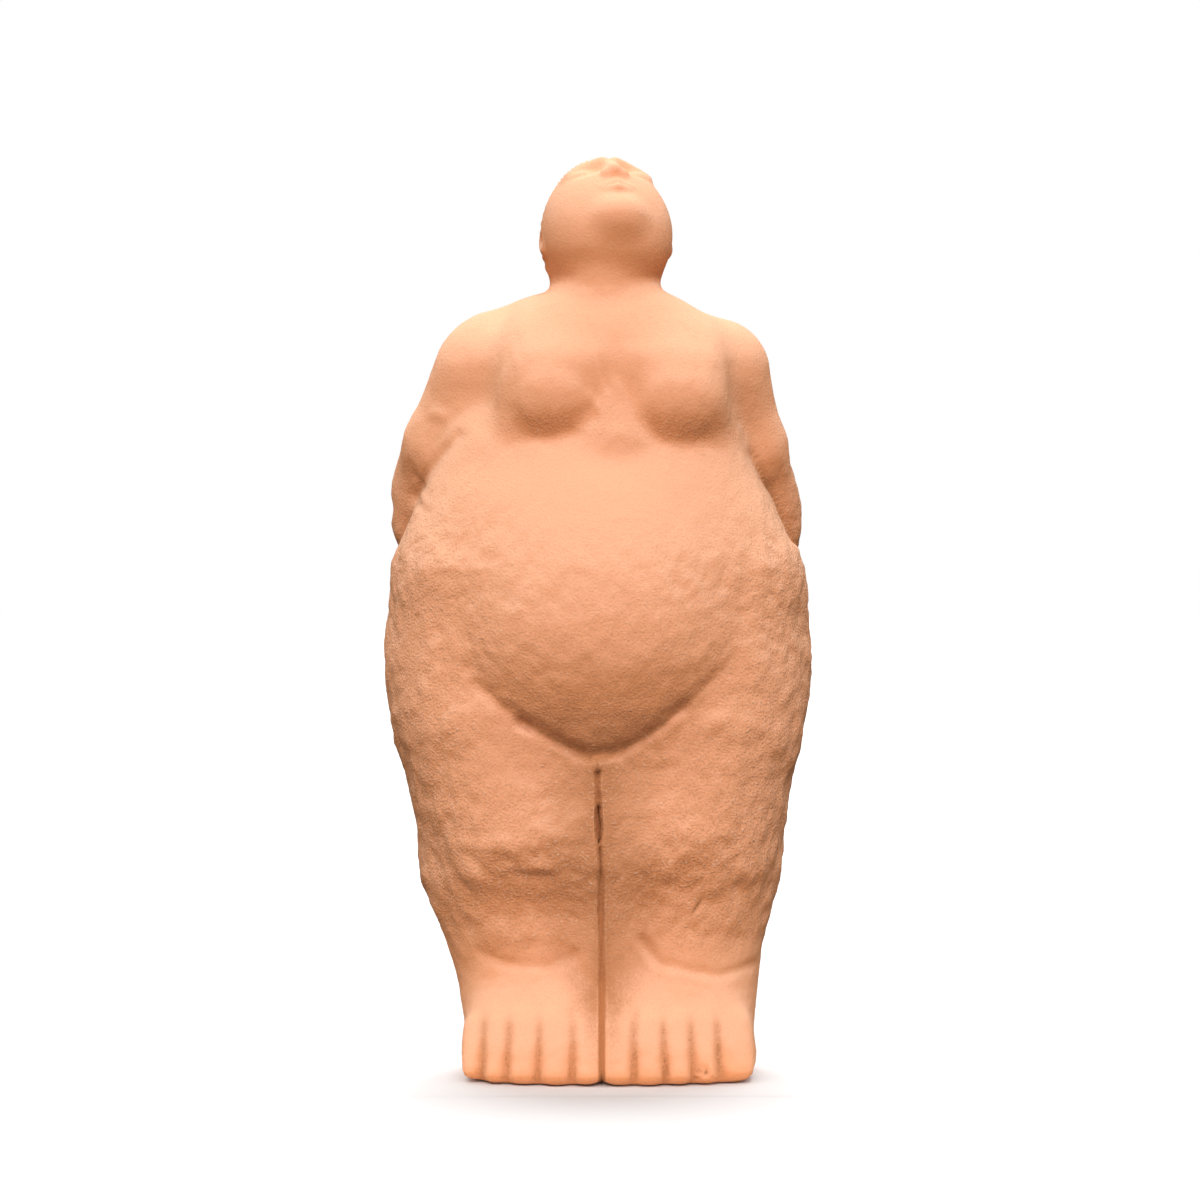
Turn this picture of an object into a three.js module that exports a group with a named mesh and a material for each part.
// A standing terracotta figure of a stout woman: head tipped back, hands joined behind her back, legs
// closed. She is modelled the way clay is built up: eggs and rolls are pressed together, their joins
// are smoothed with a thumb, and a few lines are cut in with a tool. The skin is then found from
// outside, one point for each direction, walking in until it meets the clay.
// Millimetres, +Z up. She faces -Y and stands on z = 0; +X is on the right of someone facing her.
import * as THREE from 'three';
import { mergeVertices } from 'three/addons/utils/BufferGeometryUtils.js';

// Driving sizes
const HEIGHT = 310;          // ground to crown
const HIP_HALF = 72;         // half the width across the hips
const SEAT_BACK = 57;        // how far the seat reaches back
const BELLY_HALF = 57;       // half the width of the lower belly
const ANKLE_HALF = 23;       // half the width of the left heel
const BASE_ROUND = 5;        // softness of the edge round the underside
const HEAD_TILT = 62;        // degrees the face looks up
const HEAD_TURN = 10;        // degrees the face looks aside
const TOE_GROOVE = 1.6;      // depth of the grooves between the toes
const SLIT_DEPTH = 1.1;      // depth of the line between the legs
const FOLD_DEPTH = 1.6;      // depth of the crease under the belly
const ARM_CREASE = 0.7;      // depth of one stroke of the crease between arm and flank
const FINGER = 2.8;          // radius of a finger at its root
const COLUMNS = 69;          // points of skin around, three for each toe
const ROWS = 73;             // points of skin from under the base to the crown
const CLAY = 0xe3a078;       // pale orange terracotta

// Joins and cuts of distances: k says how far a join is smoothed
const blend = (a, b, k) => Math.min(a, b) - Math.max(k - Math.abs(a - b), 0) ** 2 / (4 * k);
const carve = (a, b, k) => -blend(-a, b, k);
const together = (lumps, k) => lumps.reduce((a, b) => blend(a, b, k));
const plus = (a, b) => a.map((v, i) => v + b[i]);

// 0 before from, 1 after to, eased in between
function step(from, to, x) {
  const t = Math.min(Math.max((x - from) / (to - from), 0), 1);
  return t * t * (3 - 2 * t);
}

// straight lines from one (xs, ys) to the next
function ramp(xs, ys, x) {
  let i = 1;
  while (i < xs.length - 1 && x > xs[i]) i++;
  const t = Math.min(Math.max((x - xs[i - 1]) / (xs[i] - xs[i - 1]), 0), 1);
  return ys[i - 1] + (ys[i] - ys[i - 1]) * t;
}

// Distance from p to an egg about its centre, with three half-widths
function egg(p, centre, half) {
  const q = p.map((v, i) => (v - centre[i]) / half[i]);
  const near = Math.hypot(...q);
  return near * (near - 1) / Math.max(Math.hypot(...q.map((v, i) => v / half[i])), 1e-9);
}

// Distance to a tapering roll; deep above 1 makes it thicker from front to back than across
function roll(p, start, end, startRadius, endRadius, deep = 1) {
  const squash = [1, 1 / deep, 1];
  const q = p.map((v, i) => (v - start[i]) * squash[i]);
  const d = end.map((v, i) => (v - start[i]) * squash[i]);
  const along = q[0] * d[0] + q[1] * d[1] + q[2] * d[2];
  const t = Math.min(Math.max(along / (d[0] ** 2 + d[1] ** 2 + d[2] ** 2), 0), 1);
  return Math.hypot(...q.map((v, i) => v - t * d[i])) - (startRadius + (endRadius - startRadius) * t);
}

// Depth of a line drawn along a path of [x, z] points, on the front (side 1) or the back (side -1)
function groove(p, path, depth, width, side = 1) {
  let far = Infinity;
  for (let i = 1; i < path.length; i++) {
    const [ax, az] = path[i - 1];
    const dx = path[i][0] - ax;
    const dz = path[i][1] - az;
    const t = ((p[0] - ax) * dx + (p[2] - az) * dz) / (dx * dx + dz * dz);
    const h = Math.min(Math.max(t, 0), 1);
    far = Math.min(far, (p[0] - ax - h * dx) ** 2 + (p[2] - az - h * dz) ** 2);
  }
  return depth * Math.exp(-far / width ** 2) * step(16, 2, p[1] * side);
}

// Legs: joints are [x, y, z, radius], full is the front of the thigh
const LEFT_LEG = {
  thigh: [-33.2, -1, 114, 34.4],
  knee: [-29.3, -3.5, 70, 29.8],
  ankle: [-22.8, -4, 32, ANKLE_HALF + 0.4],
  full: [[-36, -17.5, 116], [-27.5, -19.5, 82]],
  soft: 6,
};
const RIGHT_LEG = {
  thigh: [34, -1, 114, 34.4],
  knee: [31.6, -3.5, 70, 30],
  ankle: [27.5, -4, 32, ANKLE_HALF + 2.4],
  full: [[37, -16, 116], [29, -18, 85]],
  soft: 10,
};

function leg(p, { thigh, knee, ankle, full, soft }) {
  const upper = roll(p, thigh, knee.slice(0, 3), thigh[3], knee[3], 1.1);
  const lower = roll(p, knee, ankle.slice(0, 3), knee[3], ankle[3], 1.16);
  return blend(blend(upper, lower, 3), roll(p, full[0], full[1], 26, 26), soft);
}

function legs(p) {
  const between = roll(p, [0.4, -3, 116], [1.8, -6, 10], 12, 9, 3.4);
  return blend(blend(leg(p, LEFT_LEG), leg(p, RIGHT_LEG), 6), between, 18);
}

// Feet: the ball of the toes and the instep run from the outer to the inner end
const TOE_X = [-44.0, -38.2, -29.8, -19.6, -8.2, 1.4, 12.0, 22.2, 31.4, 40.2, 51.2];    // between toes
const TOE_Y = [-39.0, -44.6, -47.4, -49.2, -49.8, -50.0, -50.0, -48.6, -46.0, -41.2];   // their tips
const LEFT_FOOT = {
  ball: [[-26.2, -25.5, 8], [-11, -29, 8]],
  instep: [[-25, -20, 19], [-11, -23, 19]],
  heel: -22.2,
  wide: ANKLE_HALF - 0.4,
};
const RIGHT_FOOT = {
  ball: [[33.6, -25.5, 8], [13, -29.5, 8]],
  instep: [[32, -20.5, 19], [13, -23, 19]],
  heel: 27.4,
  wide: ANKLE_HALF + 2.6,
};

function foot(p, { ball, instep, heel, wide }) {
  const front = blend(roll(p, ball[0], ball[1], 19, 19), roll(p, instep[0], instep[1], 18, 18), 6);
  return blend(front, roll(p, [heel, -2, 34], [heel, -1, -14], wide, wide, 1.2), 8);
}

function toe(p, k) {
  const x = (TOE_X[k] + TOE_X[k + 1]) / 2;
  const r = Math.min((TOE_X[k + 1] - TOE_X[k]) / 2 + 0.1, 5.2);
  return roll(p, [x, TOE_Y[k] + r + 5, 18], [x, TOE_Y[k] + r, 3.5], 0.8 * r, r);
}

function feet(p) {
  const blocks = blend(foot(p, LEFT_FOOT), foot(p, RIGHT_FOOT), 3);
  return blend(blocks, together(TOE_Y.map((y, k) => toe(p, k)), 0.8), 5);
}

// Arms: down to a bend and an elbow, then across the back to the wrist
const LEFT_ARM = [[-39.8, 3, 235], [-53, 8, 212], [-59, 22, 198.5], [-60.2, 27, 184], [-17, 46, 170]];
const RIGHT_ARM = [[42, 3, 235], [51.4, 8, 211], [59.2, 22, 190], [59.2, 26, 181], [19, 47, 181]];

function arm(p, [shoulder, bend, elbow, fore, wrist]) {
  const upper = blend(roll(p, shoulder, bend, 15.8, 13), roll(p, bend, elbow, 13, 11.6), 4);
  return blend(upper, roll(p, fore, wrist, 10.6, 8.2), 4);
}

const arms = (p) => blend(arm(p, LEFT_ARM), arm(p, RIGHT_ARM), 4);

// Hands: a palm of two rolls from wrist to knuckles, four fingers that go on by reach, and a thumb
const UNDER_HAND = { wrist: [-15, 44, 169], knuckles: [-4, 46, 167], reach: [15, -1.5, -2] };
const OVER_HAND = { wrist: [17, 47, 179], knuckles: [5, 50, 176], reach: [-15, -1, -4] };

function hand(p, { wrist, knuckles, reach }) {
  let clay = roll(p, plus(wrist, [0, 0, 3]), plus(knuckles, [0, 0, 4]), 6, 4.2);
  clay = blend(clay, roll(p, plus(wrist, [0, 0, -3]), plus(knuckles, [0, 0, -4]), 6, 4.2), 3);
  for (let i = 0; i < 4; i++) {
    const root = plus(knuckles, [0, 0, 6.6 - 4.4 * i]);
    const tip = plus(plus(root, reach), [0, 0, 1.2 - 0.8 * i]);
    clay = blend(clay, roll(p, root, tip, FINGER, FINGER - 0.5), 0.8);
  }
  const thumb = plus(plus(wrist, [0, 0, 8]), reach.map((v) => 0.3 * v));
  return blend(clay, roll(p, thumb, plus(plus(thumb, reach), [0, 2, 1]), FINGER + 0.3, FINGER - 0.3), 1);
}

const hands = (p) => blend(hand(p, UNDER_HAND), hand(p, OVER_HAND), 0.8);

// The head has a frame of its own: q is [aside, towards the crown, out of the face]
const HEAD_AT = [3, 2, 284];
const tilt = THREE.MathUtils.degToRad(HEAD_TILT);
const turn = THREE.MathUtils.degToRad(HEAD_TURN);
const level = Math.cos(tilt);
const face = new THREE.Vector3(Math.sin(turn) * level, -Math.cos(turn) * level, Math.sin(tilt));
const aside = new THREE.Vector3(Math.cos(turn), Math.sin(turn), 0);
const crown = new THREE.Vector3().crossVectors(face, aside);
const HEAD_AXES = [aside, crown, face].map((v) => v.toArray());

// Closed eyes in their sockets, nose, lips and brow; s is q with both sides laid on one
function faceRelief(clay, q, s) {
  let f = carve(clay, egg(s, [8.8, 2.8, 24.8], [5.6, 3.4, 4.2]), 5);
  f = blend(f, egg(s, [8.8, 2, 18.2], [4.7, 2.5, 3.2]), 1.4);
  f = blend(f, roll(q, [0, 5, 22.4], [0, -4.2, 24.4], 1.8, 2.7), 2.5);
  f = blend(f, egg(s, [2.8, -4.9, 23.4], [1.9, 1.9, 1.9]), 1.4);
  f = blend(f, roll(s, [0, -10.5, 22.6], [5.2, -11.3, 21.2], 1.7, 0.8), 1);
  f = blend(f, roll(s, [0, -13.5, 21.8], [4.2, -12.9, 21], 1.9, 0.9), 0.8);
  return blend(f, roll(s, [2.6, 7.6, 22.6], [13, 5.6, 17.8], 1.5, 1.2), 4);
}

// How far the cap of short hair stands out
function hairCap(q) {
  const edge = q[1] + 0.55 * Math.max(8 - q[2], 0) - 0.012 * q[0] ** 2;
  return 0.9 * step(11.5, 15.5, edge) * step(-16, -8, q[1]);
}

function head(p) {
  const r = p.map((v, i) => v - HEAD_AT[i]);
  const q = HEAD_AXES.map((a) => r[0] * a[0] + r[1] * a[1] + r[2] * a[2]);
  const s = [Math.abs(q[0]), q[1], q[2]];
  const skull = egg(q, [-0.5, 3, -1.5], [21.2, 24.5, 25.2]);
  const jaw = egg(q, [0, -8.5, 2.5], [19.6, 20, 18.5]);
  const chin = egg(q, [0, -20.5, 14.5], [7, 5.5, 6]);
  let f = faceRelief(blend(blend(skull, jaw, 9), chin, 6), q, s);
  f = blend(f, egg(s, [20.6, -1, -4], [2.4, 6, 3.8]), 1.5);
  f = carve(f, egg(s, [23.2, -0.5, -3], [1.8, 3.6, 2]), 1) - hairCap(q);
  const throat = egg(p, [3, -5, 264], [14, 18.5, 17]);
  return blend(f, blend(roll(p, [2.6, 7, 250], [2.6, 6, 274], 18.4, 17.4), throat, 8), 5);
}

// Lower trunk: hips, seat and belly, with the fold left sharp in the middle
function lowerTrunk(p) {
  const [x, , z] = p;
  const seatAt = SEAT_BACK - 37;
  const hips = blend(legs(p), egg(p, [0, 1, 143], [HIP_HALF, 47, 49]), 18);
  const seat = blend(egg(p, [-29, seatAt, 140], [35, 37, 34]), egg(p, [29, seatAt, 140], [35, 37, 34]), 3);
  const lowBelly = egg(p, [0.6, -9, 148.5], [BELLY_HALF, 52, 51.5]);
  const highBelly = egg(p, [0, -4, 170], [BELLY_HALF + 3, 48, 52]);
  const soft = 2.5 + 16 * step(36, 62, Math.abs(x - 0.6)) + 8 * step(150, 175, z);
  return blend(blend(hips, seat, 8), blend(lowBelly, highBelly, 10), soft);
}

// Shoulders: slopes from the neck to both sides, and the front of each shoulder
function shoulders(p) {
  const slopeLeft = roll(p, [-20, 6, 248.5], [-35, 6, 244], 14, 14);
  const slopeRight = roll(p, [17, 6, 247.2], [40.2, 6, 240.4], 14, 14);
  const middle = roll(p, [-20, 6, 248.5], [17, 6, 246.4], 14, 14);
  return together([slopeLeft, slopeRight, middle], 3);
}

function shoulderFronts(p) {
  const left = roll(p, [-24, -12, 238], [-39, -2, 235], 13, 12);
  const right = roll(p, [30, -12, 238], [40, -2, 236], 13, 12);
  return blend(left, right, 2);
}

// Trunk: flanks, chest, shoulders and breasts, whose lower edges are left sharp
function trunk(p) {
  const [x, , z] = p;
  const leftFlank = roll(p, [-34, -2, 206], [-42.6, -3, 168], 20, 23, 1.3);
  const rightFlank = roll(p, [29.5, -2, 208], [43.6, -3, 168], 21, 23, 1.3);
  const ribs = blend(blend(leftFlank, rightFlank, 6), egg(p, [2.5, 2, 218], [47, 35, 44]), 12);
  const behindArms = [-1, 1].map((side) => roll(p, [side * 43, 14, 222], [side * 46, 20, 192], 13, 15));
  let f = blend(blend(lowerTrunk(p), ribs, 12), together(behindArms, 3), 8);
  f = blend(f, shoulders(p), 6);
  f = blend(f, egg(p, [4.5, -9, 242], [33, 20, 24]), 12);
  f = blend(f, shoulderFronts(p), 10);
  f = blend(f, roll(p, [6, -17, 244], [6, -26.5, 212], 12, 11.5), 6);
  const leftBreast = roll(p, [-14, -10, 238], [-14.5, -26, 227], 13, 16, 0.85);
  const rightBreast = roll(p, [25, -8, 236], [26, -26, 226], 13, 16.5, 0.85);
  const beside = Math.abs(x - 7);
  const soft = 3 + 12 * step(226, 244, z) * step(42, 30, beside) + 8 * step(26, 40, beside);
  return blend(f, blend(leftBreast, rightBreast, 3), soft);
}

// Lines cut in the clay: [path of x and z, depth, width, side]
const LINES = [
  [[[0, 103], [0.8, 76], [1.4, 40], [1.4, 0]], SLIT_DEPTH, 0.8],
  [[[0.3, 91], [0.6, 80]], 1.8, 0.6],
  [[[-25, 119], [-12, 112.3], [-2, 107.8], [7, 109.8], [17, 115.6], [28, 123.6]], FOLD_DEPTH, 2.2],
  [[[-40, 131.5], [-33, 125.5], [-22, 118.3]], 0.7, 2],
  [[[24, 121.8], [33, 129], [40, 135]], 0.7, 2],
  [[[14, 47], [20.5, 39], [40.3, 35], [51.8, 37]], 0.5, 2],
  [[[-38.7, 42], [-32, 39], [-17, 38], [-7.4, 42]], 0.4, 2],
  [[[48, 219], [49.5, 213], [54, 201], [59, 191], [66, 180]], ARM_CREASE, 2],
  [[[51, 208], [54, 201], [59, 191], [66, 180]], ARM_CREASE, 2],
  [[[-46, 214], [-51, 209], [-57.5, 202], [-61, 195]], ARM_CREASE + 0.2, 2],
  [[[1, 158], [0.5, 118], [1.5, 0]], 2.2, 2.2, -1],
  [[[3, 236], [2, 186]], 1.6, 5, -1],
];
for (const x of [...TOE_X.slice(1, 5), ...TOE_X.slice(6, -1)]) {
  LINES.push([[[x, 3], [x * 0.975, 21]], TOE_GROOVE - 0.6, 1.6]);
  LINES.push([[[x, 3], [x * 0.985, 12]], 0.6, 1.9]);
}

// Distance from p to the whole figure, pressed flat on the bench
function clay(p) {
  const [x, y, z] = p;
  const leftFlank = step(-30, -48, x) * step(176, 190, z) * step(232, 216, z);
  const softArms = 3 + 8 * step(6, 24, y) + 6 * step(214, 234, z) + 8 * leftFlank;
  let f = blend(trunk(p), arms(p), softArms);
  f = blend(f, hands(p), 2);
  f = blend(f, head(p), 5);
  f = blend(f, feet(p), 6);
  for (const [path, depth, width, side] of LINES) f += groove(p, path, depth, width, side);
  return carve(f, z, BASE_ROUND);
}

// The skin: rays leave a spine level between two heights, and fan out below and above them
const LOWEST_LEVEL = 20;
const HIGHEST_LEVEL = 285;
const PER_RADIAN = 25;       // mm of way for each radian of the fans
const BOTTOM = LOWEST_LEVEL - PER_RADIAN * Math.PI / 2;
const TOP = HIGHEST_LEVEL + PER_RADIAN * Math.PI / 2;
const SAMPLES = 1000;        // places at which the closeness of the rows is added up
const OUTSIDE = 95;          // where a point starts to walk in
const CLOSE_ENOUGH = 0.002;
const TOE_ROUND = TOE_X.map((x, k) => (k - 5) / 23);
const TOE_ANGLE = TOE_X.map((x, k) => Math.atan2(x - 1.4, 37.5 - 0.22 * Math.abs(k - 5) ** 2.6));

// Where a column looks: in line with the toes near the ground, evenly higher up
function bearing(round, z) {
  const even = 2 * Math.PI * round - 0.3 * Math.sin(2 * Math.PI * round);
  const toes = ramp([-0.5, ...TOE_ROUND, 0.5], [-Math.PI, ...TOE_ANGLE, Math.PI], round);
  return THREE.MathUtils.lerp(even, toes, step(62, 28, z));
}

// The rows dip in front, in line with the crease under the belly, whose tip is a little to the left
function dip(round, way) {
  const share = step(20, 110, way) * (1 - step(114, 205, way));
  return 13 * (1 - Math.cos(Math.min(4.4 * Math.PI * Math.abs(round + 0.01), Math.PI))) * share;
}

// The point inside the figure that the rays leave from at height z
function spine(z) {
  const x = ramp([0, 76, 105, 170, 235], [1.4, 0.8, 0.2, 0.6, 3], z);
  return [x, -10 + 7 * step(20, 60, z) + 6.5 * step(200, 250, z), z];
}

function skinPoint(round, way) {
  const height = Math.min(Math.max(way, LOWEST_LEVEL), HIGHEST_LEVEL);
  const lift = (way - height) / PER_RADIAN;
  const from = spine(height + dip(round, height));
  const t = bearing(round, from[2]);
  const ray = [Math.sin(t) * Math.cos(lift), -Math.cos(t) * Math.cos(lift), Math.sin(lift)];
  let far = OUTSIDE;
  let p = from;
  for (let i = 0; i < 80; i++) {
    p = from.map((v, k) => v + ray[k] * far);
    const gap = clay(p);
    if (Math.abs(gap) < CLOSE_ENOUGH) break;
    far = Math.max(far - 0.85 * gap, 0.5);
  }
  return p;
}

// Rows lie closer where there is more to show: at the toes, the crease, the forearms and the face
function closeness(way) {
  const feet = step(-14, 0, way) - 0.45 * step(26, 40, way);
  const crease = 0.45 * (step(98, 106, way) - step(114, 124, way));
  const forearms = 0.25 * (step(136, 146, way) - step(178, 190, way));
  return 0.2 + feet + crease + forearms + 0.45 * step(242, 256, way);
}

// Places of the rows, with equal shares of closeness between them
function rowWays() {
  const ways = Array.from({ length: SAMPLES }, (_, i) => BOTTOM + (TOP - BOTTOM) * i / (SAMPLES - 1));
  const gone = [];
  let sum = 0;
  for (const way of ways) {
    sum += closeness(way);
    gone.push(sum);
  }
  const placeOf = (row) => ramp(gone, ways, gone[0] + (sum - gone[0]) * row / ROWS);
  return Array.from({ length: ROWS + 1 }, (_, row) => placeOf(row));
}

// A sphere's grid laid on the skin, then set upright to the true height, centred on the ground
function skin() {
  const ball = new THREE.SphereGeometry(1, COLUMNS, ROWS);
  ball.deleteAttribute('uv');
  ball.deleteAttribute('normal');
  const at = ball.attributes.position;
  const ways = rowWays();
  for (let i = 0; i < at.count; i++) {
    const row = Math.floor(i / (COLUMNS + 1));
    const column = i % (COLUMNS + 1) % COLUMNS;
    const pole = row === 0 || row === ROWS;
    const p = skinPoint(pole ? 0 : column / COLUMNS - 0.5, ways[ROWS - row]);
    at.setXYZ(i, p[0], p[1], Math.max(p[2], 0));
  }
  ball.computeBoundingBox();
  const box = ball.boundingBox;
  const scale = HEIGHT / box.max.z;
  ball.translate(-(box.min.x + box.max.x) / 2, -(box.min.y + box.max.y) / 2, 0);
  ball.scale(scale, scale, scale);
  return mergeVertices(ball, 1e-4);
}

const terracotta = new THREE.MeshStandardMaterial({ name: 'terracotta', color: CLAY, roughness: 0.95 });
const figure = new THREE.Mesh(skin(), terracotta);
figure.name = 'female_figure';

const part = new THREE.Group();
part.name = 'terracotta_female_figure';
part.add(figure);
export default part;
